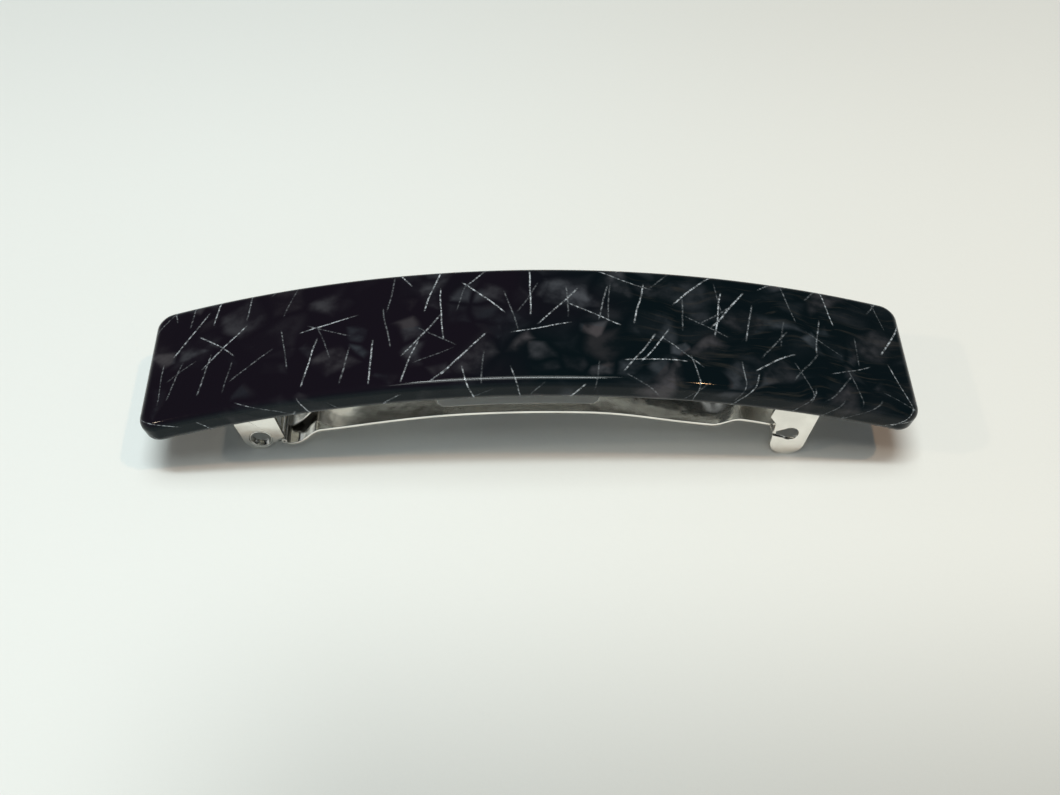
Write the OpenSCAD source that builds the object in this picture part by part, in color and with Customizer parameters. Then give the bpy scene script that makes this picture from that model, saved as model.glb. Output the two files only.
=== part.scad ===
// Hair barrette: a curved acetate plate on a sprung French clip.
//
// Everything is bent about one curvature axis, parallel to Y and below the part. A place on the
// part is given by s, the arc length from the middle along the plate's underside, and by the
// depth d below that underside. +X runs along the plate towards the clasp, +Z is the worn side,
// and z = 0 is the plane that the hinge ears and the clasp lugs stand on.

/* [Plate] */
// Straight length of the plate from end to end
plate_l = 100; // [96:1:104]
// Width of the plate
plate_w = 20.7; // [18:0.1:24]
// Thickness of the plate
plate_t = 3.6; // [3.2:0.1:4]
// Radius of the plate's worn surface
bend_r = 158; // [155:1:161]
// Rounding of the plate's edges
edge_r = 1.2; // [0.8:0.1:1.4]
// Radius of the plate's corners, seen from above
corner_r = 2.5; // [1.5:0.1:4]
// Height of the plate's middle above the table
stand_h = 19.05; // [18.9:0.05:19.2]

/* [Base bar] */
// Thickness of the adhesive between plate and base bar
glue_t = 0.2; // [0.1:0.05:0.3]
// Thickness of the base bar's and the clasp lugs' steel
bar_t = 0.5; // [0.4:0.05:0.5]
// Width of the base bar between its ends
bar_w = 6.6; // [5:0.2:7]
// Width over the two hinge ears
hinge_w = 9.2; // [9.2:0.1:9.4]
// Diameter of the fixing holes near the base bar's ends
fixing_d = 2.4; // [1.6:0.1:3]
// Distance of each fixing hole from the middle
fixing_s = 29; // [27:0.5:30]

/* [Hinge] */
// Distance of the hinge from the middle
hinge_s = 38.5; // [38.3:0.1:38.7]
// Depth of the hinge below the plate
hinge_d = 8.85; // [8.75:0.05:8.95]
// Diameter of the holes in the hinge ears
ear_hole_d = 3.1; // [2.9:0.05:3.2]
// Radial clearance of the pivot collars in the hinge ears
pivot_gap = 0.04; // [0.02:0.01:0.08]
// Wall of the hollow pivot collars
collar_wall = 0.2; // [0.15:0.05:0.3]

/* [Clasp] */
// Distance of the clasp lugs from the middle
clasp_s = 36; // [35.8:0.1:36.2]
// Width over the two clasp lugs
clasp_w = 13.4; // [13.2:0.1:13.6]
// Radius of a clasp lug's rounded tip
lug_r = 2.3; // [2.1:0.05:2.4]
// How far each claw reaches under the arm's edge
claw_catch = 0.5; // [0.3:0.1:0.7]

/* [Swing arm] */
// Width of the arm
arm_w = 10; // [9.8:0.1:10.1]
// Thickness of the arm's steel
arm_t = 0.45; // [0.35:0.05:0.5]
// Depth of the arm's middle surface along the middle of the clip
arm_d = 8.12; // [8:0.02:8.3]
// Width of the slot in the arm
slot_w = 7.2; // [5:0.2:7.6]
// Length of the slot in the arm
slot_l = 21.5; // [16:0.5:24]
// Diameter of the dimple near the arm's tip
dimple_d = 3.6; // [3:0.2:5]

/* [Tension spring] */
// Width of the tension spring
spring_w = 5; // [4:0.2:5.4]
// Thickness of the tension spring
spring_t = 0.3; // [0.2:0.05:0.3]
// Depth of the spring's middle surface at the top of its bow
spring_d = 2.9; // [2.6:0.1:3]

/* [Hidden] */
$fn = 96;

steel = "silver";
spring_steel = "gainsboro";
acetate = [0.09, 0.08, 0.11];
adhesive = [0.85, 0.83, 0.75];

under_r = bend_r - plate_t;
axis_z = stand_h - bend_r;
end_angle = asin(plate_l / 2 / (bend_r - edge_r));
bar_d = glue_t + bar_t;

// Bends: inner radius of every fold in the clip's sheet
fold_r = 0.3;
fold_out = fold_r + bar_t;

// Hinge ears, in their own frame: u along the bar from the hinge, d down from the plate
ear_out = hinge_w / 2;
ear_in = ear_out - bar_t;
ear_u0 = -2.6;
ear_u1 = 3.4;
ear_lobe_u = -0.4;
cheek_gap = 0.1;
cheek_out = ear_in - cheek_gap;
cheek_in = cheek_out - arm_t;
collar_r = ear_hole_d / 2 - pivot_gap;

// Clasp lugs: u along the bar from the lug, y out from the middle
lug_out = clasp_w / 2;
lug_in = lug_out - bar_t;
root_y = lug_out - bar_t / 2;
root_d = glue_t + bar_t / 2;
root_gap = 0.05;
lobe_u = 0.75;
edge_u = -2.05;
edge_d = 5.8;
lobe_d = standing_depth(clasp_s, lobe_u, lug_r);
claw_in = arm_w / 2 - claw_catch;

// Middle surface of the arm, as places [s, d] joined by smooth curves
ARM_FORM = [
    [-36.6, 10.6], [-33.6, 10.45], [-29.6, 8.6], [-8, arm_d], [8, arm_d],
    [26, 9.2], [29.6, 7.65], [38.4, 8]
];
ARM_STEP = 0.6;
arm_neck_s = -35.5;
arm_tip_r = 1.6;
slot_s = -1.5;
slot_r = 1.4;
dimple_s = 25.6;
dimple_h = 0.6;

// Middle surface of the tension spring, as places [s, d], and the roll at its hinge end
SPRING_FORM = [[-35, 9.7], [-24, 3], [-4, spring_d], [4, spring_d], [27, 1.5], [31, 1.9]];
SPRING_STEP = 0.8;
roll_s = -35.35;
roll_d = 9.85;
roll_r = 0.4;
roll_w = 9.7;

// Angle about the curvature axis of arc place s
function turn(s) = s / under_r * 180 / PI;

// Depth of a disc of radius r about [s + u], so that it stands on the table
function standing_depth(s, u, r) = under_r - (r - axis_z + u * sin(turn(s))) / cos(turn(s));

// Place [x, z] of arc place s at depth d
function place(s, d) = [(under_r - d) * sin(turn(s)), axis_z + (under_r - d) * cos(turn(s))];

// Smooth step from 0 to 1
function ease(t) = t * t * (3 - 2 * t);

// Depth at s of a form given as a list of [s, d]
function form_depth(form, s, i = 0) =
    i >= len(form) - 2 || s <= form[i + 1][0]
        ? let (t = (s - form[i][0]) / (form[i + 1][0] - form[i][0]))
          form[i][1] + (form[i + 1][1] - form[i][1]) * ease(max(0, min(1, t)))
        : form_depth(form, s, i + 1);

// Moves a shape to arc place s, with its origin on the plate's underside and +Z outwards
module at(s) {
    translate([0, 0, axis_z]) rotate([0, turn(s), 0]) translate([0, 0, under_r]) children();
}

// Moves and turns a flat outline, drawn as [u, -d], into a sheet from y0 to y1 at arc place s
module sheet(s, y0, y1) {
    at(s) translate([0, y1, 0]) rotate([90, 0, 0]) linear_extrude(y1 - y0) children();
}

// A band bent about the curvature axis, from s0 to s1, with its section drawn as [-d, y]
module bent(s0, s1) {
    translate([0, 0, axis_z]) rotate([90, 0, 0]) rotate([0, 0, 90 - turn(s1)])
        rotate_extrude(angle = turn(s1 - s0), $fn = 720) translate([under_r, 0]) children();
}

// A plain bent strip from s0 to s1, from depth d0 to d1, w wide
module strip(s0, s1, d0, d1, w) {
    bent(s0, s1) translate([-d1, -w / 2]) square([d1 - d0, w]);
}

// A strip formed along a list of [s, d], t thick and w wide
module formed_strip(form, step, t, w) {
    first = form[0][0];
    last = form[len(form) - 1][0];
    count = ceil((last - first) / step);
    stations = [for (i = [0:count]) first + (last - first) * i / count];
    upper = [for (s = stations) place(s, form_depth(form, s) - t / 2)];
    lower = [for (i = [count:-1:0]) place(stations[i], form_depth(form, stations[i]) + t / 2)];
    rotate([90, 0, 0]) linear_extrude(w, center = true) polygon(concat(upper, lower));
}

// A rectangle with rounded corners, about the origin
module rounded(l, w, r) {
    square([l - 2 * r, w], center = true);
    square([l, w - 2 * r], center = true);
    for (x = [-1, 1], y = [-1, 1]) translate([x * (l / 2 - r), y * (w / 2 - r)]) circle(r);
}

// Side outline that rounds the plate's end at +X, in the frame of that end
module end_rounding() {
    arc = [for (a = [12:13:90]) edge_r * [sin(a) - 1, cos(a) - 1]];
    under_arc = [for (i = [len(arc) - 1:-1:0]) [arc[i][0], -plate_t - arc[i][1]]];
    far_end = [[-1.2 * plate_l, plate_l], [-1.2 * plate_l, -plate_l]];
    polygon(concat([far_end[0]], arc, under_arc, [far_end[1]]));
}

module acetate_plate() {
    end_s = end_angle * PI / 180 * under_r;
    color(acetate) difference() {
        intersection() {
            bent(-end_s, end_s) translate([plate_t / 2, 0]) rounded(plate_t, plate_w, edge_r);
            plate_end_cut();
            mirror([1, 0, 0]) plate_end_cut();
        }
        for (x = [0, 1], y = [0, 1]) mirror([x, 0, 0]) mirror([0, y, 0]) corner_cut(end_s);
    }
}

// Everything on the near side of the rounded end at +X
module plate_end_cut() {
    end_s = end_angle * PI / 180 * under_r;
    at(end_s) translate([0, plate_w, plate_t]) rotate([90, 0, 0])
        linear_extrude(2 * plate_w) end_rounding();
}

// What the plate's corner at +X, +Y loses to its rounding
module corner_cut(end_s) {
    at(end_s) translate([-corner_r, plate_w / 2 - corner_r, -1]) difference() {
        cube([corner_r + 1, corner_r + 1, plate_t + 2]);
        translate([0, 0, -1]) cylinder(r = corner_r, h = plate_t + 4);
    }
}

// An adhesive pad with a plug through the base bar's fixing hole at s
module adhesive_pad(s) {
    pad_l = 9;
    head_h = 0.3;
    color(adhesive) {
        strip(s - pad_l / 2, s + pad_l / 2, 0, glue_t, bar_w - 0.6);
        at(s) translate([0, 0, -bar_d - head_h]) {
            cylinder(d = fixing_d, h = bar_d + head_h - glue_t / 2);
            cylinder(d1 = fixing_d, d2 = fixing_d + 1, h = head_h - 0.02);
        }
    }
}

module adhesive_pad_hinge() adhesive_pad(-fixing_s);
module adhesive_pad_clasp() adhesive_pad(fixing_s);

// Outline of a hinge ear below its fold, as [x, z], a hair shorter than the fold
function ear_place(u, d) = place(u - hinge_s, d);

module ear_outline() {
    lobe = ear_place(ear_lobe_u, hinge_d);
    top_d = glue_t + fold_out + 0.25;
    end_u = ear_u1 - 0.05;
    difference() {
        union() {
            polygon([
                ear_place(ear_u0 + 0.05, top_d), ear_place(end_u, top_d),
                ear_place(end_u, hinge_d + 0.5), ear_place(2.3, hinge_d + 0.65),
                ear_place(1.3, hinge_d + 1.3), lobe, ear_place(ear_u0 + 0.1, hinge_d)
            ]);
            translate(lobe) circle(lobe[1]);
        }
        translate(ear_place(0, hinge_d)) circle(d = ear_hole_d);
    }
}

// Half of the channel's section over the ears, as [-d, y]: the floor, a fold and a short leg
module channel_section() {
    floor_y = ear_out - fold_out;
    translate([-bar_d, 0]) square([bar_t, floor_y]);
    translate([-glue_t - fold_out, floor_y]) intersection() {
        difference() {
            circle(fold_out);
            circle(fold_r);
        }
        square(fold_out);
    }
    translate([-glue_t - fold_out - 0.5, ear_in]) square([0.5, bar_t]);
}

// The bar beyond the ears: narrow, with a wide end between the lugs
module bar_plan() {
    start_x = place(ear_u1 - hinge_s, bar_d)[0];
    wide_x = place(clasp_s - 3, bar_d)[0];
    wide_y = root_y - bar_t / 2 - root_gap;
    polygon([
        [start_x - 1, -bar_w / 2], [wide_x - 3, -bar_w / 2], [wide_x, -wide_y],
        [plate_l, -wide_y], [plate_l, wide_y], [wide_x, wide_y], [wide_x - 3, bar_w / 2],
        [start_x - 1, bar_w / 2]
    ]);
}

module base_bar() {
    color(steel) difference() {
        union() {
            intersection() {
                strip(ear_u1 - hinge_s - 0.5, clasp_s + 3, glue_t, bar_d, clasp_w);
                linear_extrude(stand_h) bar_plan();
            }
            for (y = [0, 1]) mirror([0, y, 0]) {
                bent(ear_u0 - hinge_s, ear_u1 - hinge_s) mirror([0, 1]) channel_section();
                translate([0, -ear_in, 0]) rotate([90, 0, 0]) linear_extrude(bar_t) ear_outline();
            }
        }
        for (s = [-fixing_s, fixing_s])
            at(s) translate([0, 0, -2]) cylinder(d = fixing_d, h = 4);
    }
}

// Outline of a clasp lug below its root, with its eye
module lug_outline() {
    eye_u = 0.45;
    eye_d = 7.25;
    eye_r = 1.15;
    difference() {
        union() {
            polygon([
                [-3, -root_d], [3, -root_d], [lobe_u + lug_r, -lobe_d],
                [lobe_u - lug_r, -lobe_d], [edge_u, -edge_d], [edge_u - 1.1, -edge_d + 1.1]
            ]);
            translate([lobe_u, -lobe_d]) circle(lug_r);
        }
        translate([eye_u, -eye_d]) circle(eye_r);
        polygon([
            [-2.4, -7.75], [eye_u - 0.35, -eye_d + 1.09], [eye_u + 0.35, -eye_d - 1.09],
            [-2.4, -8]
        ]);
    }
}

// The claw at the lug's edge, as an outline in [y, -d]: a stub above the arm and a hook below it
module claw_outline() {
    stub_in = arm_w / 2 + 0.3;
    waist_in = arm_w / 2 + 0.75;
    polygon([
        [lug_in + 0.1, -5.85], [stub_in, -6.1], [stub_in, -7], [waist_in, -7.2],
        [waist_in, -8.3], [claw_in, -8.5], [claw_in, -9], [waist_in, -10.4],
        [lug_in + 0.1, -10.4]
    ]);
}

// The front lug is at -Y and the back one at +Y
module clasp_lug(side) {
    claw_lean = atan((lobe_u - lug_r - edge_u) / (lobe_d - edge_d));
    color(steel) mirror([0, side < 0 ? 1 : 0, 0]) {
        sheet(clasp_s, lug_in, lug_out) lug_outline();
        at(clasp_s) translate([-3, root_y, -root_d]) rotate([0, 90, 0])
            cylinder(d = bar_t, h = 6);
        at(clasp_s) translate([edge_u, 0, -edge_d]) rotate([0, -claw_lean, 0])
            translate([0, 0, edge_d]) rotate([90, 0, 90]) linear_extrude(bar_t) claw_outline();
    }
}

module clasp_lug_front() clasp_lug(-1);
module clasp_lug_back() clasp_lug(1);

// Plan of the arm: a neck between the ears, then full width to the rounded tip, less the slot
module arm_plan() {
    neck_x = place(arm_neck_s, hinge_d)[0];
    tip_x = place(38.4, 8)[0];
    difference() {
        union() {
            translate([(neck_x + tip_x) / 2, 0]) rounded(tip_x - neck_x, arm_w, arm_tip_r);
            translate([neck_x - 4, -cheek_out]) square([6, 2 * cheek_out]);
        }
        translate([slot_s, 0]) rounded(slot_l, slot_w, slot_r);
    }
}

// Outline of a cheek: a disc about the hinge, running down to the arm
module cheek_outline() {
    difference() {
        union() {
            translate([0, -hinge_d]) circle(1.95);
            polygon([
                [0, -hinge_d + 1.9], [1.2, -hinge_d + 1.5], [2.2, -hinge_d + 0.2],
                [2.55, -hinge_d - 1.35], [2.55, -hinge_d - 1.8], [0, -hinge_d - 1.9]
            ]);
        }
        translate([0, -hinge_d]) circle(collar_r - collar_wall);
    }
}

// A pivot collar, which stands out of a cheek and fills the hole in its ear
module collar() {
    at(-hinge_s) translate([0, ear_out, -hinge_d]) rotate([90, 0, 0]) difference() {
        cylinder(r = collar_r, h = ear_out - cheek_in);
        translate([0, 0, -1]) cylinder(r = collar_r - collar_wall, h = ear_out);
    }
}

module swing_arm() {
    color(steel) {
        intersection() {
            formed_strip(ARM_FORM, ARM_STEP, arm_t, arm_w + 2);
            translate([0, 0, -5]) linear_extrude(stand_h) arm_plan();
        }
        for (y = [0, 1]) mirror([0, y, 0]) {
            sheet(-hinge_s, cheek_in, cheek_out) cheek_outline();
            collar();
        }
        dimple_dome();
    }
}

// The dimple's outside, a shallow dome on the arm's lower face
module dimple_dome() {
    dome_h = dimple_h + arm_t / 2;
    dome_r = (dimple_d * dimple_d / 4 + dome_h * dome_h) / 2 / dome_h;
    at(dimple_s) translate([0, 0, -form_depth(ARM_FORM, dimple_s)]) intersection() {
        translate([0, 0, dome_r - dome_h]) sphere(dome_r);
        translate([0, 0, -2]) cylinder(d = dimple_d, h = 2);
    }
}

module tension_spring() {
    color(spring_steel) {
        formed_strip(SPRING_FORM, SPRING_STEP, spring_t, spring_w);
        at(roll_s) translate([0, roll_w / 2, -roll_d]) rotate([90, 0, 0])
            cylinder(r = roll_r, h = roll_w);
    }
}

acetate_plate();
adhesive_pad_hinge();
adhesive_pad_clasp();
base_bar();
clasp_lug_front();
clasp_lug_back();
swing_arm();
tension_spring();
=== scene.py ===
import math

import bmesh
import bpy
import numpy as np
from mathutils import Matrix, Vector


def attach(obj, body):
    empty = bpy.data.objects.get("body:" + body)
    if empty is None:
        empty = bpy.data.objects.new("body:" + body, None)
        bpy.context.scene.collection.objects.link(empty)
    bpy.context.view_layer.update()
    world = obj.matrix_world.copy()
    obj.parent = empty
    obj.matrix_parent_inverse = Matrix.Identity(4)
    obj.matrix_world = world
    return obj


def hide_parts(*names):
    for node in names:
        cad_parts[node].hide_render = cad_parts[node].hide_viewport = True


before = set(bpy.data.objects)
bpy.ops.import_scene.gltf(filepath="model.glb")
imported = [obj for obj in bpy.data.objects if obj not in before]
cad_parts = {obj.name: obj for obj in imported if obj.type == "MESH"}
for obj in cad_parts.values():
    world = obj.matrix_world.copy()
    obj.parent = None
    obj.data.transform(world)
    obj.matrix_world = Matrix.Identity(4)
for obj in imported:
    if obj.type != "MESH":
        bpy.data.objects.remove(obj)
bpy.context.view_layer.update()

# Everything is worked out in millimetres and scaled once, when a mesh is made.
MM = 0.001
PER_M = 1000

# The part's layout, with the sizes of its CAD source. A place is given by s, the arc length
# from the middle along the plate's underside, and by the depth d below that underside.
# The arm's crown and dimple, the spring's rounded ends and the roll's core are only in this model.
STAND_H, BEND_R, PLATE_L = 19.05, 158.0, 100.0
PLATE_T, PLATE_W, EDGE_R, CORNER_R = 3.6, 20.7, 1.2, 2.5
UNDER_R = BEND_R - PLATE_T
AXIS_Z = STAND_H - BEND_R
PLATE_END = math.asin(PLATE_L / 2 / (BEND_R - EDGE_R)) * UNDER_R
HINGE_S, HINGE_D = 38.5, 8.85
CHEEK_OUT, CHEEK_IN, CHEEK_R, EAR_OUT = 4.0, 3.55, 1.95, 4.6
COLLAR_R, COLLAR_WALL = 1.51, 0.2
ARM_W, ARM_T, ARM_D = 10.0, 0.45, 8.12
ARM_FORM = [
    (-36.6, 10.6), (-33.6, 10.45), (-29.6, 8.6), (-8, ARM_D), (8, ARM_D),
    (26, 9.2), (29.6, 7.65), (38.4, 8)
]
SLOT_S, SLOT_L, SLOT_W, SLOT_R = -1.5, 21.5, 7.2, 1.4
ARM_NECK_S, ARM_TIP_R = -35.5, 1.6
ARM_CROWN, CROWN_FROM, CROWN_TO, CROWN_FADE = 0.16, -30, 25, 6
DIMPLE_X, DIMPLE_HALF_L, DIMPLE_HALF_W, DIMPLE_DEPTH = 24.6, 1.9, 3.4, 0.55
SPRING_FORM = [(-35, 9.7), (-24, 3), (-4, 2.9), (4, 2.9), (27, 1.5), (31, 1.9)]
SPRING_W, SPRING_T, SPRING_END_R = 5.0, 0.3, 0.9
ROLL_S, ROLL_D, ROLL_R, ROLL_CORE_R, ROLL_W = -35.35, 9.85, 0.4, 0.14, 9.7

# Mesh making, in mm and degrees: vertices closer than MERGE are joined, and shading breaks at SHARP
MERGE, SHARP = 1e-4, 38
# For a CAD shape: the same, the turn below which faces are joined, and its edges' bevel
CAD_MERGE, CAD_SHARP, CAD_FLAT, CAD_EDGE = 2e-3, 40, 0.6, 0.05
FORM_STEPS = 900


def place(s, d):
    """x and z of the place at arc length s and depth d under the plate."""
    a = np.asarray(s) / UNDER_R
    return (UNDER_R - d) * np.sin(a), AXIS_Z + (UNDER_R - d) * np.cos(a)


def form_depth(form, s):
    """Depth at s of a form that joins its places by smooth curves."""
    s = np.asarray(s, float)
    knots = np.array(form, float)
    i = np.clip(np.searchsorted(knots[:, 0], s, side="left") - 1, 0, len(knots) - 2)
    t = np.clip((s - knots[i, 0]) / (knots[i + 1, 0] - knots[i, 0]), 0, 1)
    return knots[i, 1] + (knots[i + 1, 1] - knots[i, 1]) * t * t * (3 - 2 * t)


# ---------------------------------------------------------------- mesh tools
def new_object(name, mesh, body, slot, *nodes):
    obj = bpy.data.objects.new(name, mesh)
    bpy.context.scene.collection.objects.link(obj)
    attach(obj, body)
    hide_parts(*nodes)
    return obj


def vertices(mesh):
    co = np.empty(len(mesh.vertices) * 3)
    mesh.vertices.foreach_get("co", co)
    return co.reshape(-1, 3)


def cut(bm, axis, places):
    """Cuts every face along the planes at these places on one axis."""
    normal = [0, 0, 0]
    normal[axis] = 1
    for p in places:
        point = [0, 0, 0]
        point[axis] = p
        bmesh.ops.bisect_plane(
            bm, geom=bm.verts[:] + bm.edges[:] + bm.faces[:], dist=MERGE,
            plane_co=point, plane_no=normal)


def smooth(mesh):
    mesh.polygons.foreach_set("use_smooth", [True] * len(mesh.polygons))


def metal_object(name, mesh, body, slot, node):
    """A piece of sheet metal: smooth, with sharp edges kept and the large faces left flat."""
    smooth(mesh)
    mesh.set_sharp_from_angle(angle=math.radians(SHARP))
    obj = new_object(name, mesh, body, slot, node)
    normals = obj.modifiers.new("normals", "WEIGHTED_NORMAL")
    normals.keep_sharp = True
    normals.weight = 80
    return obj


def arc_points(cx, cy, r, a0, a1, n):
    return [(cx + r * math.cos(math.radians(a0 + (a1 - a0) * i / n)),
             cy + r * math.sin(math.radians(a0 + (a1 - a0) * i / n))) for i in range(n + 1)]


def rounded_rect(x0, x1, y0, y1, r, n=8):
    return (arc_points(x1 - r, y1 - r, r, 0, 90, n) + arc_points(x0 + r, y1 - r, r, 90, 180, n)
            + arc_points(x0 + r, y0 + r, r, 180, 270, n) + arc_points(x1 - r, y0 + r, r, 270, 360, n))


def stamped(outlines, thickness, edge=0.06):
    """A flat sheet with rounded edges, as a bmesh: the outer outline, then holes. z is its thickness."""
    curve = bpy.data.curves.new("outline", "CURVE")
    curve.dimensions, curve.fill_mode = "2D", "BOTH"
    for points in outlines:
        spline = curve.splines.new("POLY")
        spline.points.add(len(points) - 1)
        for p, q in zip(spline.points, points):
            p.co = (q[0], q[1], 0, 1)
        spline.use_cyclic_u = True
    curve.extrude = thickness / 2 - edge
    curve.bevel_depth, curve.bevel_resolution, curve.offset = edge, 2, -edge
    obj = bpy.data.objects.new("outline", curve)
    bpy.context.scene.collection.objects.link(obj)
    bpy.context.view_layer.update()
    mesh = bpy.data.meshes.new_from_object(obj.evaluated_get(bpy.context.evaluated_depsgraph_get()))
    bpy.data.objects.remove(obj)
    bm = bmesh.new()
    bm.from_mesh(mesh)
    bmesh.ops.remove_doubles(bm, verts=bm.verts[:], dist=MERGE)
    bmesh.ops.recalc_face_normals(bm, faces=bm.faces[:])
    bpy.data.meshes.remove(mesh)
    return bm


def move(bm, function):
    """Moves each vertex as function says, from (n, 3) places to (n, 3) places, all in mm."""
    co = np.array([v.co[:] for v in bm.verts])
    for v, p in zip(bm.verts, function(co)):
        v.co = p


def to_mesh(name, parts):
    """One mesh in metres from several bmeshes in mm."""
    whole = bmesh.new()
    for bm in parts:
        part = bpy.data.meshes.new("part")
        bm.to_mesh(part)
        whole.from_mesh(part)
        bm.free()
        bpy.data.meshes.remove(part)
    bmesh.ops.scale(whole, vec=(MM, MM, MM), verts=whole.verts[:])
    mesh = bpy.data.meshes.new(name)
    whole.to_mesh(mesh)
    whole.free()
    return mesh


def dressed(node, name, body, slot):
    """A CAD node's own shape with its sharp edges rounded."""
    bm = bmesh.new()
    bm.from_mesh(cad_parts[node].data)
    bmesh.ops.scale(bm, vec=(PER_M, PER_M, PER_M), verts=bm.verts[:])
    bmesh.ops.remove_doubles(bm, verts=bm.verts[:], dist=CAD_MERGE)
    bmesh.ops.dissolve_limit(bm, angle_limit=math.radians(CAD_FLAT), verts=bm.verts[:],
                             edges=bm.edges[:])
    sharp = [e for e in bm.edges
             if len(e.link_faces) == 2 and e.calc_face_angle(0) > math.radians(CAD_SHARP)]
    bmesh.ops.bevel(bm, geom=sharp, offset=CAD_EDGE, offset_type="OFFSET", segments=2, profile=0.5,
                    affect="EDGES", clamp_overlap=False)
    # the bevel leaves vertices on the same place, with faces that have no area between them
    bmesh.ops.remove_doubles(bm, verts=bm.verts[:], dist=CAD_MERGE / 2)
    return metal_object(name, to_mesh(name, [bm]), body, slot, node)


# ---------------------------------------------------------------- the plate
def plate():
    """The plate, flat with rounded edges and corners, then bent."""
    half = Vector((PLATE_END, PLATE_W / 2, PLATE_T / 2))
    bm = bmesh.new()
    bmesh.ops.create_cube(bm, size=2)
    bmesh.ops.scale(bm, vec=half, verts=bm.verts[:])
    upright = [e for e in bm.edges if abs(e.verts[0].co.z - e.verts[1].co.z) > 1]
    bmesh.ops.bevel(bm, geom=upright, offset=CORNER_R, offset_type="OFFSET", segments=12, profile=0.5,
                    affect="EDGES")
    rims = [e for e in bm.edges if abs(e.verts[0].co.z - e.verts[1].co.z) < 1e-4
            and any(abs(f.normal.z) > 0.9 for f in e.link_faces)
            and any(abs(f.normal.z) < 0.1 for f in e.link_faces)]
    bmesh.ops.bevel(bm, geom=rims, offset=EDGE_R, offset_type="OFFSET", segments=9, profile=0.5,
                    affect="EDGES")
    rim = CORNER_R + 0.1
    cut(bm, 0, np.linspace(-half.x + rim, half.x - rim, 95))
    cut(bm, 1, np.linspace(-half.y + rim, half.y - rim, 13))
    bmesh.ops.triangulate(bm, faces=[f for f in bm.faces if len(f.verts) > 4])
    mesh = bpy.data.meshes.new("acetate_plate_body")
    bm.to_mesh(mesh)
    bm.free()

    # normals of the rounded block: away from the nearest point of its inner core
    co = vertices(mesh)
    core = np.array([half.x - CORNER_R, half.y - CORNER_R])
    out = co[:, :2] - np.clip(co[:, :2], -core, core)
    length = np.linalg.norm(out, axis=1, keepdims=True)
    out *= np.maximum(length - (CORNER_R - EDGE_R), 0) / np.maximum(length, 1e-9)
    rise = co[:, 2] - np.clip(co[:, 2], EDGE_R - half.z, half.z - EDGE_R)
    normal = np.column_stack([out, rise])
    normal /= np.maximum(np.linalg.norm(normal, axis=1, keepdims=True), 1e-9)

    # places on the unrolled surface, for the pattern: along, across, and depth under the worn face
    depth = half.z - co[:, 2]
    flat = np.column_stack([co[:, 0] * (1 + depth / half.x), co[:, 1] * (1 + depth / half.y), depth])
    a = co[:, 0] / UNDER_R
    r = UNDER_R + half.z + co[:, 2]
    bent = np.column_stack([r * np.sin(a), co[:, 1], AXIS_Z + r * np.cos(a)]) * MM
    turned = np.column_stack([normal[:, 0] * np.cos(a) + normal[:, 2] * np.sin(a), normal[:, 1],
                              normal[:, 2] * np.cos(a) - normal[:, 0] * np.sin(a)])
    mesh.vertices.foreach_set("co", bent.ravel())
    attribute = mesh.attributes.new("flat", "FLOAT_VECTOR", "POINT")
    attribute.data.foreach_set("vector", flat.ravel())
    smooth(mesh)
    mesh.update()
    mesh.normals_split_custom_set_from_vertices(turned.tolist())
    return new_object("acetate_plate_body", mesh, "clip_body", "acetate", "acetate_plate")


# ---------------------------------------------------------------- the swing arm
def on_form(form, x, w):
    """Places at x on a form, w above its middle surface."""
    s = np.linspace(form[0][0], form[-1][0], FORM_STEPS)
    xs, _ = place(s, form_depth(form, s))
    at = np.interp(x, xs, s)
    end = np.clip(x, xs[0], xs[-1])
    px, pz = place(at, form_depth(form, at) - w)
    return px + (x - end), pz


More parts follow.
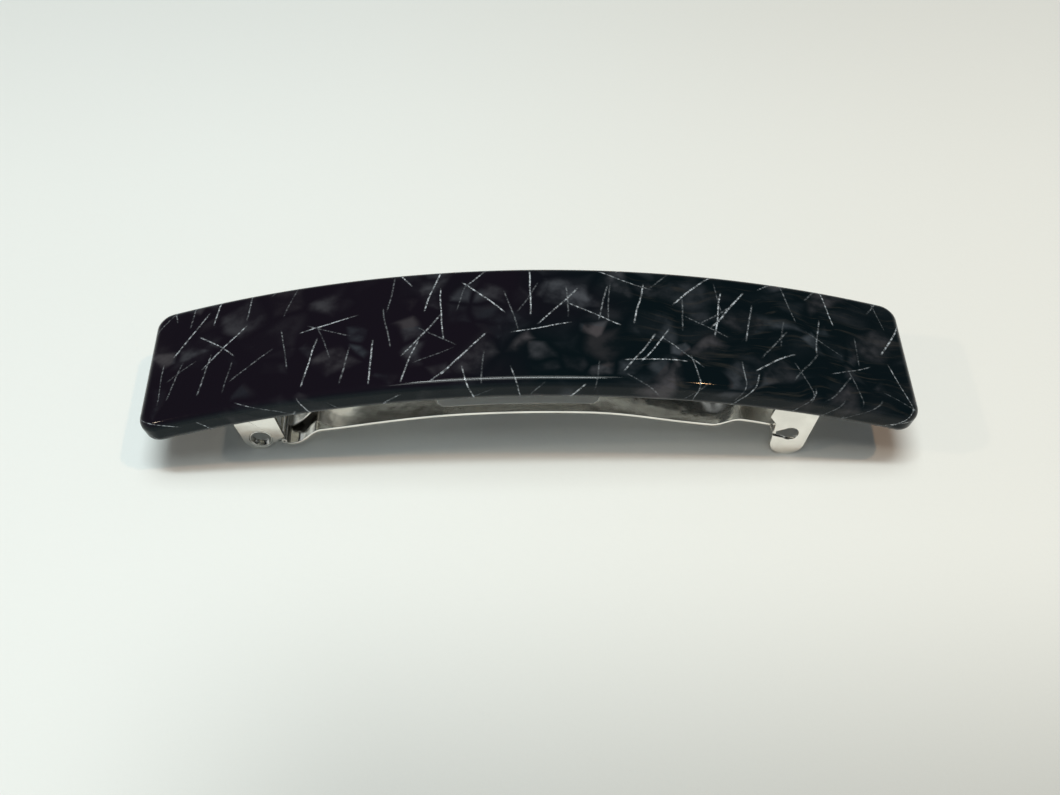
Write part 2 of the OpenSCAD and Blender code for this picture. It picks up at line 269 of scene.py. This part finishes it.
def arm():
    """The stamped strip with its slot and dimple, two cheeks and two hollow pivot collars."""
    neck_x = float(place(ARM_NECK_S, HINGE_D)[0])
    end_x, tip_x = (float(place(*ARM_FORM[i])[0]) for i in (0, -1))
    half, r = ARM_W / 2, ARM_TIP_R
    outline = (
        arc_points(tip_x - r, half - r, r, 0, 90, 10)
        + arc_points(neck_x + r, half - r, r, 90, 180, 10)
        + [(neck_x, CHEEK_OUT), (end_x, CHEEK_OUT), (end_x, -CHEEK_OUT), (neck_x, -CHEEK_OUT)]
        + arc_points(neck_x + r, r - half, r, 180, 270, 10)
        + arc_points(tip_x - r, r - half, r, 270, 360, 10)
    )
    slot = rounded_rect(SLOT_S - SLOT_L / 2, SLOT_S + SLOT_L / 2, -SLOT_W / 2, SLOT_W / 2, SLOT_R)
    bm = stamped([outline, slot[::-1]], ARM_T, 0.07)
    cut(bm, 0, np.arange(end_x + 0.4, tip_x - 0.2, 0.4))
    cut(bm, 1, [-4.3, -3.9, -3.4, -2.9, -2.4, -1.8, -1.2, -0.6, 0, 0.6, 1.2, 1.8, 2.4, 2.9, 3.4, 3.9, 4.3])

    def formed(co):
        x, y, w = co.T
        px, pz = on_form(ARM_FORM, x, w)
        # the rails and the spine are crowned a little, and the dimple is pressed down
        fade_in = np.clip((x - CROWN_FROM) / CROWN_FADE, 0, 1)
        fade_out = np.clip((CROWN_TO - x) / CROWN_FADE, 0, 1)
        crown = ARM_CROWN * (y / half) ** 2 * fade_in * fade_out
        q = np.sqrt(((x - DIMPLE_X) / DIMPLE_HALF_L) ** 2 + (y / DIMPLE_HALF_W) ** 2)
        press = DIMPLE_DEPTH * (0.5 + 0.5 * np.cos(np.pi * np.clip(q, 0, 1))) ** 0.8
        return np.column_stack([px, y, pz - crown - press])

    move(bm, formed)
    parts = [bm]
    hx, hz = (float(v) for v in place(-HINGE_S, HINGE_D))
    tilt = -HINGE_S / UNDER_R
    for side in (-1, 1):
        cheek = (arc_points(0, 0, CHEEK_R, 270, 90, 24)
                 + [(1.2, 1.53), (2.2, 0.2), (2.55, -1.35), (2.55, -1.75)])
        hole = arc_points(0, 0, COLLAR_R - COLLAR_WALL, 0, 360, 40)[:-1]
        flat = stamped([cheek[::-1], hole], ARM_T, 0.06)
        ring = arc_points(0, 0, COLLAR_R, 0, 360, 48)[:-1]
        tube = stamped([ring, hole[::-1]], EAR_OUT - CHEEK_IN, 0.05)
        for part, y in ((flat, (CHEEK_IN + CHEEK_OUT) / 2), (tube, (EAR_OUT + CHEEK_IN) / 2)):
            def stood(co, y=y):
                c, s = math.cos(tilt), math.sin(tilt)
                u, d, w = co.T
                return np.column_stack([hx + u * c + d * s, side * (y + w), hz - u * s + d * c])
            move(part, stood)
            bmesh.ops.recalc_face_normals(part, faces=part.faces[:])
            parts.append(part)
    mesh = to_mesh("arm_body", parts)
    return metal_object("swing_arm_body", mesh, "arm", "plated_steel", "swing_arm")


def spring():
    """The thin bowed strip, with the rolled end that turns in the hinge."""
    x0, x1 = (float(place(*SPRING_FORM[i])[0]) for i in (0, -1))
    half = SPRING_W / 2
    bm = stamped([rounded_rect(x0, x1, -half, half, SPRING_END_R)], SPRING_T, 0.05)
    cut(bm, 0, np.arange(x0 + 0.4, x1 - 0.2, 0.5))
    cut(bm, 1, [-1.6, -0.8, 0, 0.8, 1.6])

    def formed(co):
        x, y, w = co.T
        px, pz = on_form(SPRING_FORM, x, w)
        return np.column_stack([px, y, pz])

    move(bm, formed)
    ring = arc_points(0, 0, ROLL_R, 0, 360, 28)[:-1]
    core = arc_points(0, 0, ROLL_CORE_R, 0, 360, 16)[:-1]
    roll = stamped([ring, core[::-1]], ROLL_W, 0.06)
    cx, cz = (float(v) for v in place(ROLL_S, ROLL_D))
    move(roll, lambda co: np.column_stack([cx + co[:, 0], co[:, 2], cz + co[:, 1]]))
    bmesh.ops.recalc_face_normals(roll, faces=roll.faces[:])
    mesh = to_mesh("tension_spring_body", [bm, roll])
    return metal_object("tension_spring_body", mesh, "spring", "spring_steel", "tension_spring")


# ---------------------------------------------------------------- materials
class Shader:
    """A material made of nodes, with short ways to add them."""

    def __init__(self, name, **sockets):
        self.material = bpy.data.materials.new(name)
        self.material.use_nodes = True
        self.tree = self.material.node_tree
        self.tree.nodes.clear()
        self.bsdf = self.add("ShaderNodeBsdfPrincipled", **sockets)
        out = self.tree.nodes.new("ShaderNodeOutputMaterial")
        self.tree.links.new(self.bsdf.outputs[0], out.inputs[0])

    def set(self, socket, value):
        if isinstance(value, bpy.types.NodeSocket):
            self.tree.links.new(value, socket)
        else:
            socket.default_value = value

    def add(self, kind, *values, props=(), **sockets):
        n = self.tree.nodes.new(kind)
        for key, value in dict(props).items():
            setattr(n, key, value)
        for i, value in enumerate(values):
            if value is not None:
                self.set(n.inputs[i], value)
        for key, value in sockets.items():
            self.set(n.inputs[key.replace("_", " ")], value)
        return n

    def calc(self, operation, *values, clamp=False):
        return self.add("ShaderNodeMath", *values,
                        props={"operation": operation, "use_clamp": clamp}).outputs[0]

    def vector(self, operation, *values):
        n = self.add("ShaderNodeVectorMath", *values, props={"operation": operation})
        return n.outputs[1] if operation == "DOT_PRODUCT" else n.outputs[0]

    def turned(self, place, degrees, scale=(1, 1, 1), shift=(0, 0, 0)):
        return self.add("ShaderNodeMapping", Vector=place, Rotation=(0, 0, math.radians(degrees)),
                        Scale=scale, Location=shift).outputs[0]

    def noise(self, place, scale, detail=2.0, rough=0.5):
        return self.add("ShaderNodeTexNoise", props={"noise_dimensions": "3D"}, Vector=place,
                        Scale=scale, Detail=detail, Roughness=rough)

    def object_mm(self):
        """The place on the object, in millimetres."""
        where = self.add("ShaderNodeTexCoord").outputs["Object"]
        return self.vector("MULTIPLY", where, (PER_M, PER_M, PER_M))

    def skin(self, **sockets):
        """Sets sockets of the surface by name, after it is made."""
        for key, value in sockets.items():
            self.set(self.bsdf.inputs[key.replace("_", " ")], value)

    def span(self, value, low, high, to_low=0.0, to_high=1.0, smooth=True):
        return self.add("ShaderNodeMapRange", value, low, high, to_low, to_high,
                        props={"interpolation_type": "SMOOTHSTEP" if smooth else "LINEAR"}).outputs[0]

    def mix(self, factor, a, b, blend="MIX"):
        n = self.add("ShaderNodeMix", props={"data_type": "RGBA", "blend_type": blend})
        self.set(n.inputs[0], factor)
        self.set(n.inputs[6], a)
        self.set(n.inputs[7], b)
        return n.outputs[2]

    def bump(self, height, strength, distance, normal=None):
        n = self.add("ShaderNodeBump", Strength=strength, Distance=distance, Height=height)
        if normal is not None:
            self.set(n.inputs["Normal"], normal)
        return n.outputs[0]


def needles(sh, flat, degrees, cell, shift, width, seed, presence):
    """Brightness of slivers, one at most in each cell of a turned grid; their painted glints are added
    where they are used.
    """
    p = sh.turned(flat, degrees, shift=(*shift, 0))
    q = sh.vector("DIVIDE", p, (cell[0], cell[1], 1))
    number = sh.vector("FLOOR", sh.vector("MULTIPLY", q, (1, 1, 0)))
    local = sh.vector("MULTIPLY", sh.vector("SUBTRACT", sh.vector("FRACTION", q), (0.5, 0.5, 0)),
                      (cell[0], cell[1], 0))
    rnd = sh.add("ShaderNodeTexWhiteNoise", props={"noise_dimensions": "3D"},
                 Vector=sh.vector("ADD", number, (seed, seed * 1.7, seed * 0.3)))
    value = rnd.outputs["Value"]
    r = sh.add("ShaderNodeSeparateXYZ", rnd.outputs["Color"]).outputs
    at = sh.add("ShaderNodeSeparateXYZ", local).outputs
    x = sh.calc("SUBTRACT", at[0], sh.calc("MULTIPLY", sh.calc("SUBTRACT", r[0], 0.5), cell[0] * 0.2))
    y = sh.calc("SUBTRACT", at[1], sh.calc("MULTIPLY", sh.calc("SUBTRACT", r[1], 0.5), cell[1] * 0.45))
    slope = sh.calc("MULTIPLY", sh.calc("SUBTRACT", r[2], 0.5), cell[1] / cell[0] * 0.9)
    bow = sh.calc("MULTIPLY", sh.calc("MULTIPLY", x, x), sh.calc("MULTIPLY", slope, 0.05))
    above = sh.calc("SUBTRACT", y, sh.calc("MULTIPLY", slope, x))
    off = sh.calc("ABSOLUTE", sh.calc("SUBTRACT", above, bow))
    half = sh.calc("MULTIPLY_ADD", r[0], cell[0] * 0.22, cell[0] * 0.2)
    body = sh.calc("SUBTRACT", 1.0, sh.span(off, width * 0.35, width))
    ends = sh.calc("SUBTRACT", 1.0, sh.span(sh.calc("SUBTRACT", sh.calc("ABSOLUTE", x), half), -0.8, 0.1))
    there = sh.calc("LESS_THAN", value, presence)
    bright = sh.calc("POWER", sh.calc("DIVIDE", value, presence), 2.2)
    bright = sh.calc("MULTIPLY_ADD", bright, 0.86, 0.14)
    return sh.calc("MULTIPLY", sh.calc("MULTIPLY", body, ends), sh.calc("MULTIPLY", there, bright))


def chips(sh, place, scale, seed, share, soft):
    """Smoky chips: patches of random strength with soft edges."""
    shifted = sh.vector("ADD", place, (seed, seed * 0.7, 0))
    near = sh.add("ShaderNodeTexVoronoi", props={"voronoi_dimensions": "2D", "feature": "F1"},
                  Vector=shifted, Scale=scale, Randomness=0.95)
    edge = sh.add("ShaderNodeTexVoronoi",
                  props={"voronoi_dimensions": "2D", "feature": "DISTANCE_TO_EDGE"},
                  Vector=shifted, Scale=scale, Randomness=0.95)
    r = sh.add("ShaderNodeSeparateXYZ", near.outputs["Color"]).outputs
    there = sh.span(r[0], 1 - share, 1.0, 0.0, 1.0, smooth=False)
    return sh.calc("MULTIPLY", there, sh.span(edge.outputs["Distance"], 0.0, soft)), r[1]


def acetate():
    """Polished black acetate with smoky chips, streaks and silver slivers in it."""
    sh = Shader("acetate", Roughness=0.06, IOR=1.36, Specular_IOR_Level=0.25)
    flat = sh.add("ShaderNodeAttribute", props={"attribute_name": "flat"}).outputs["Vector"]
    along = sh.add("ShaderNodeSeparateXYZ", flat).outputs
    wobble = sh.noise(flat, 0.13, 1).outputs["Color"]
    wobble = sh.vector("MULTIPLY", sh.vector("SUBTRACT", wobble, (0.5, 0.5, 0.5)), (6.0, 6.0, 0))
    warped = sh.vector("ADD", flat, wobble)

    # ground: purple-black towards the hinge, teal-black towards the clasp
    drift = sh.calc("MULTIPLY_ADD", sh.noise(flat, 0.05, 2).outputs["Fac"], 50.0, -25.0)
    side = sh.span(sh.calc("ADD", along[0], drift), -12.0, 12.0)
    ground = sh.mix(side, (0.0062, 0.0044, 0.0082, 1), (0.0017, 0.0048, 0.0066, 1))
    # painted light: the rounded edges and side faces get a darker teal, the tint of the light falling on
    # the plate's front face
    painted_side_tint = sh.span(along[2], 0.15, 1.0)
    ground = sh.mix(painted_side_tint, ground, (0.0024, 0.0062, 0.0088, 1))

    # chips, drawn out into streaks towards the clasp
    streaky = sh.span(along[0], 8.0, 20.0)
    stretched = sh.turned(warped, 18, scale=(0.42, 1.25, 1))
    first, tone = chips(sh, warped, 0.17, 11.3, 0.45, 0.3)
    second, _ = chips(sh, warped, 0.3, 47.1, 0.38, 0.3)
    third, _ = chips(sh, stretched, 0.22, 83.9, 0.55, 0.4)
    cloud = sh.span(sh.noise(flat, 0.16, 4, 0.55).outputs["Fac"], 0.42, 0.66, 0.1, 1.15)
    plain = sh.calc("MAXIMUM", first, sh.calc("MULTIPLY", second, 0.8))
    third = sh.calc("MULTIPLY", third, streaky)
    strongest = sh.calc("MAXIMUM", plain, sh.calc("MULTIPLY", third, 0.8))
    amount = sh.calc("MULTIPLY", strongest, cloud, clamp=True)
    grey = sh.mix(tone, (0.046, 0.056, 0.068, 1), (0.062, 0.055, 0.060, 1))
    smoke = sh.mix(amount, ground, grey)
    streaks = sh.noise(sh.turned(warped, 22, scale=(0.25, 2.2, 1)), 0.6, 4, 0.65).outputs["Fac"]
    streaks = sh.calc("MULTIPLY", sh.span(streaks, 0.52, 0.72), sh.calc("MULTIPLY", streaky, 0.45))
    smoke = sh.mix(streaks, smoke, (0.036, 0.032, 0.027, 1))

    # slivers, in several directions: turn, cell, shift, half width, seed and share of full cells
    wavy = sh.vector("ADD", flat, sh.vector("MULTIPLY", wobble, (0.15, 0.15, 0)))
    layers = (
        (-84, (12.5, 4.6), (1.2, 2.3), 0.14, 3.1, 0.6),
        (-97, (14.5, 7.3), (4.0, 0.4), 0.12, 9.7, 0.6),
        (-52, (14.0, 5.6), (2.4, 4.9), 0.15, 17.3, 0.62),
        (-40, (11.0, 8.2), (7.0, 1.8), 0.14, 23.9, 0.6),
        (36, (13.0, 7.4), (0.8, 3.9), 0.13, 31.1, 0.55),
        (-10, (13.0, 9.5), (5.1, 6.0), 0.12, 43.7, 0.5),
    )
    sliver = None
    for degrees, cell, shift, width, seed, presence in layers:
        one = needles(sh, wavy, degrees, cell, shift, width, seed, presence)
        sliver = one if sliver is None else sh.calc("MAXIMUM", sliver, one)
    # the slivers are the acetate's own; their dotted sparkle is a painted glint along them
    glint_noise = sh.noise(flat, 1.9, 4, 0.8).outputs["Fac"]
    painted_glints = sh.span(glint_noise, 0.44, 0.62, 0.1, 1.3)
    sliver = sh.calc("MULTIPLY", sliver, painted_glints, clamp=True)
    colour = sh.mix(sliver, smoke, (0.50, 0.54, 0.58, 1))
    fine = sh.noise(flat, 1.1, 3, 0.5).outputs["Fac"]
    waves = sh.noise(flat, 0.12, 2).outputs["Fac"]
    sh.skin(Base_Color=colour, Roughness=sh.span(fine, 0.3, 0.7, 0.035, 0.075),
            Normal=sh.bump(waves, 0.03, 0.0004))
    return sh.material


def steel(name, colour, rough, stretch, wave):
    """Bright plated sheet: faint rolling lines, soft waves and patchy shine."""
    sh = Shader(name, Metallic=1.0, Roughness=rough)
    mm = sh.object_mm()
    lines = sh.noise(sh.vector("MULTIPLY", mm, stretch), 3.0, 4, 0.6).outputs["Fac"]
    patch = sh.noise(mm, 0.35, 3).outputs["Fac"]
    dark = tuple(c * 0.84 for c in colour)
    shine = sh.calc("ADD", sh.span(patch, 0.3, 0.7, rough * 0.7, rough * 1.3),
                    sh.span(lines, 0.3, 0.7, -0.02, 0.03))
    soft = sh.bump(sh.noise(mm, 0.28, 2).outputs["Fac"], wave, 0.0006)
    sh.skin(Base_Color=sh.mix(sh.span(patch, 0.3, 0.75), (*colour, 1), (*dark, 1)),
            Roughness=shine, Normal=sh.bump(lines, 0.05, 0.00003, soft))
    return sh.material


def glue():
    """Cured adhesive: cloudy and a little yellow."""
    sh = Shader("adhesive", Roughness=0.45)
    tone = sh.noise(sh.object_mm(), 1.3, 4, 0.6).outputs["Fac"]
    sh.skin(Base_Color=sh.mix(tone, (0.62, 0.58, 0.46, 1), (0.45, 0.41, 0.32, 1)),
            Roughness=sh.span(tone, 0.3, 0.7, 0.35, 0.6), Normal=sh.bump(tone, 0.3, 0.0001))
    return sh.material


def paint(obj, material):
    obj.data.materials.clear()
    obj.data.materials.append(material)


# ---------------------------------------------------------------- the object
nickel = steel("nickel", (0.90, 0.88, 0.83), 0.17, (0.25, 3.0, 3.0), 0.22)
spring_metal = steel("spring_steel", (0.84, 0.82, 0.78), 0.18, (0.12, 5.0, 5.0), 0.15)
paint(plate(), acetate())
paint(arm(), nickel)
paint(spring(), spring_metal)
paint(dressed("base_bar", "base_bar_body", "clip_body", "plated_steel"), nickel)
paint(dressed("clasp_lug_front", "clasp_lug_front_body", "front_lug", "plated_steel"), nickel)
paint(dressed("clasp_lug_back", "clasp_lug_back_body", "back_lug", "plated_steel"), nickel)
resin = glue()
for pad in ("adhesive_pad_hinge", "adhesive_pad_clasp"):
    paint(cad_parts[pad], resin)


# ---------------------------------------------------------------- stage, light and camera
def floor():
    """The table: a large sheet just under the part, a little uneven in tone, with painted shade towards
    the front and the back and a painted warm light towards the right.
    """
    mesh = bpy.data.meshes.new("floor")
    side, gap = 3.0, 0.00002
    mesh.from_pydata([(-side, -side, 0), (side, -side, 0), (side, side, 0), (-side, side, 0)], [],
                     [(0, 1, 2, 3)])
    obj = bpy.data.objects.new("floor", mesh)
    bpy.context.scene.collection.objects.link(obj)
    obj.location.z = -gap
    sh = Shader("paper", Roughness=0.75)
    mm = sh.object_mm()
    tone = sh.noise(mm, 0.012, 3).outputs["Fac"]
    paper = sh.mix(tone, (0.79, 0.815, 0.81, 1), (0.765, 0.79, 0.78, 1))
    along = sh.add("ShaderNodeSeparateXYZ", mm).outputs
    # painted shade: the paper darkens towards the front, much less at the far left, and a little towards
    # the back
    painted_front_shade_depth = sh.span(along[0], -62.0, -15.0, 0.95, 0.6)
    near = sh.span(along[1], -75.0, -18.0, painted_front_shade_depth, 1.0)
    painted_back_shade = sh.span(along[1], 40.0, 130.0, 1.0, 0.9)
    paper = sh.vector("SCALE", paper, None, None, sh.calc("MULTIPLY", near, painted_back_shade))
    # painted light: the paper turns warmer towards the right, as under the warm lamp
    right = sh.span(along[0], -60.0, 80.0)
    warm = sh.mix(1.0, paper, (0.96, 0.92, 0.89, 1), "MULTIPLY")
    fibre = sh.noise(mm, 1.6, 4, 0.6).outputs["Fac"]
    sh.skin(Base_Color=sh.mix(right, paper, warm), Normal=sh.bump(fibre, 0.08, 0.0003))
    paint(obj, sh.material)


def lamp(name, direction, distance, size, power, colour):
    """A rectangular lamp that faces the part, in metres and watts."""
    data = bpy.data.lights.new(name, "AREA")
    data.shape, data.size, data.size_y = "RECTANGLE", *size
    data.energy, data.color = power, colour
    obj = bpy.data.objects.new(name, data)
    bpy.context.scene.collection.objects.link(obj)
    back = Vector(direction).normalized()
    obj.location = Vector((0, 0, 0.01)) + back * distance
    obj.rotation_mode = "QUATERNION"
    obj.rotation_quaternion = back.to_track_quat("Z", "Y")


def sky():
    """A room's light: stronger from the front, with a bright band low over the horizon."""
    world = bpy.data.worlds.new("room")
    bpy.context.scene.world = world
    world.use_nodes = True
    tree = world.node_tree
    tree.nodes.clear()
    where = tree.nodes.new("ShaderNodeTexCoord")
    split = tree.nodes.new("ShaderNodeSeparateXYZ")
    tree.links.new(where.outputs["Generated"], split.inputs[0])
    total = tree.nodes.new("ShaderNodeMath")
    for i, (axis, *limits) in enumerate((("Y", -0.7, 0.5, 0.16, 0.07), ("Z", 0.12, 0.45, 0.38, 0.0))):
        spread = tree.nodes.new("ShaderNodeMapRange")
        for socket, value in zip(("From Min", "From Max", "To Min", "To Max"), limits):
            spread.inputs[socket].default_value = value
        tree.links.new(split.outputs[axis], spread.inputs[0])
        tree.links.new(spread.outputs[0], total.inputs[i])
    back = tree.nodes.new("ShaderNodeBackground")
    back.inputs[0].default_value = (0.93, 0.99, 1.0, 1)
    tree.links.new(total.outputs[0], back.inputs[1])
    out = tree.nodes.new("ShaderNodeOutputWorld")
    tree.links.new(back.outputs[0], out.inputs[0])


def camera():
    """At the photograph's angle: 47.7 degrees down, from 198 mm to the middle of the plate."""
    pitch, yaw, roll = 0.832473, -0.019219, 0.0010153
    sensor_mm, focal_px, frame_px = 36.0, 1550, 1060
    right = Vector((1, 0, 0))
    forward = Vector((0, math.cos(pitch), -math.sin(pitch)))
    up = Vector((0, math.sin(pitch), math.cos(pitch)))
    right, up = (math.cos(roll) * right + math.sin(roll) * up,
                 math.cos(roll) * up - math.sin(roll) * right)
    basis = Matrix((right, up, -forward)).transposed()
    data = bpy.data.cameras.new("camera")
    data.sensor_width, data.lens = sensor_mm, focal_px / frame_px * sensor_mm
    data.clip_start, data.clip_end = 0.005, 20.0
    obj = bpy.data.objects.new("camera", data)
    obj.matrix_world = (Matrix.Translation(Vector((-2.57, -140.60, 159.09)) * MM)
                        @ (Matrix.Rotation(yaw, 3, "Z") @ basis).to_4x4())
    bpy.context.scene.collection.objects.link(obj)
    bpy.context.scene.camera = obj


floor()
sky()
lamp("panel", (-0.035, -0.20, 0.98), 0.9, (0.37, 0.62), 4.0, (0.93, 1.0, 0.98))
lamp("tube", (-0.035, -0.20, 0.98), 0.88, (0.36, 0.07), 3.6, (0.90, 1.0, 1.0))
lamp("warm_lamp", (0.36, -0.25, 0.88), 0.8, (0.03, 0.02), 0.9, (1.0, 0.58, 0.30))
lamp("side_lamp", (-0.71, -0.25, 0.66), 0.8, (0.03, 0.02), 0.5, (1.0, 0.82, 0.62))
camera()
bpy.context.scene.view_settings.view_transform = "Standard"
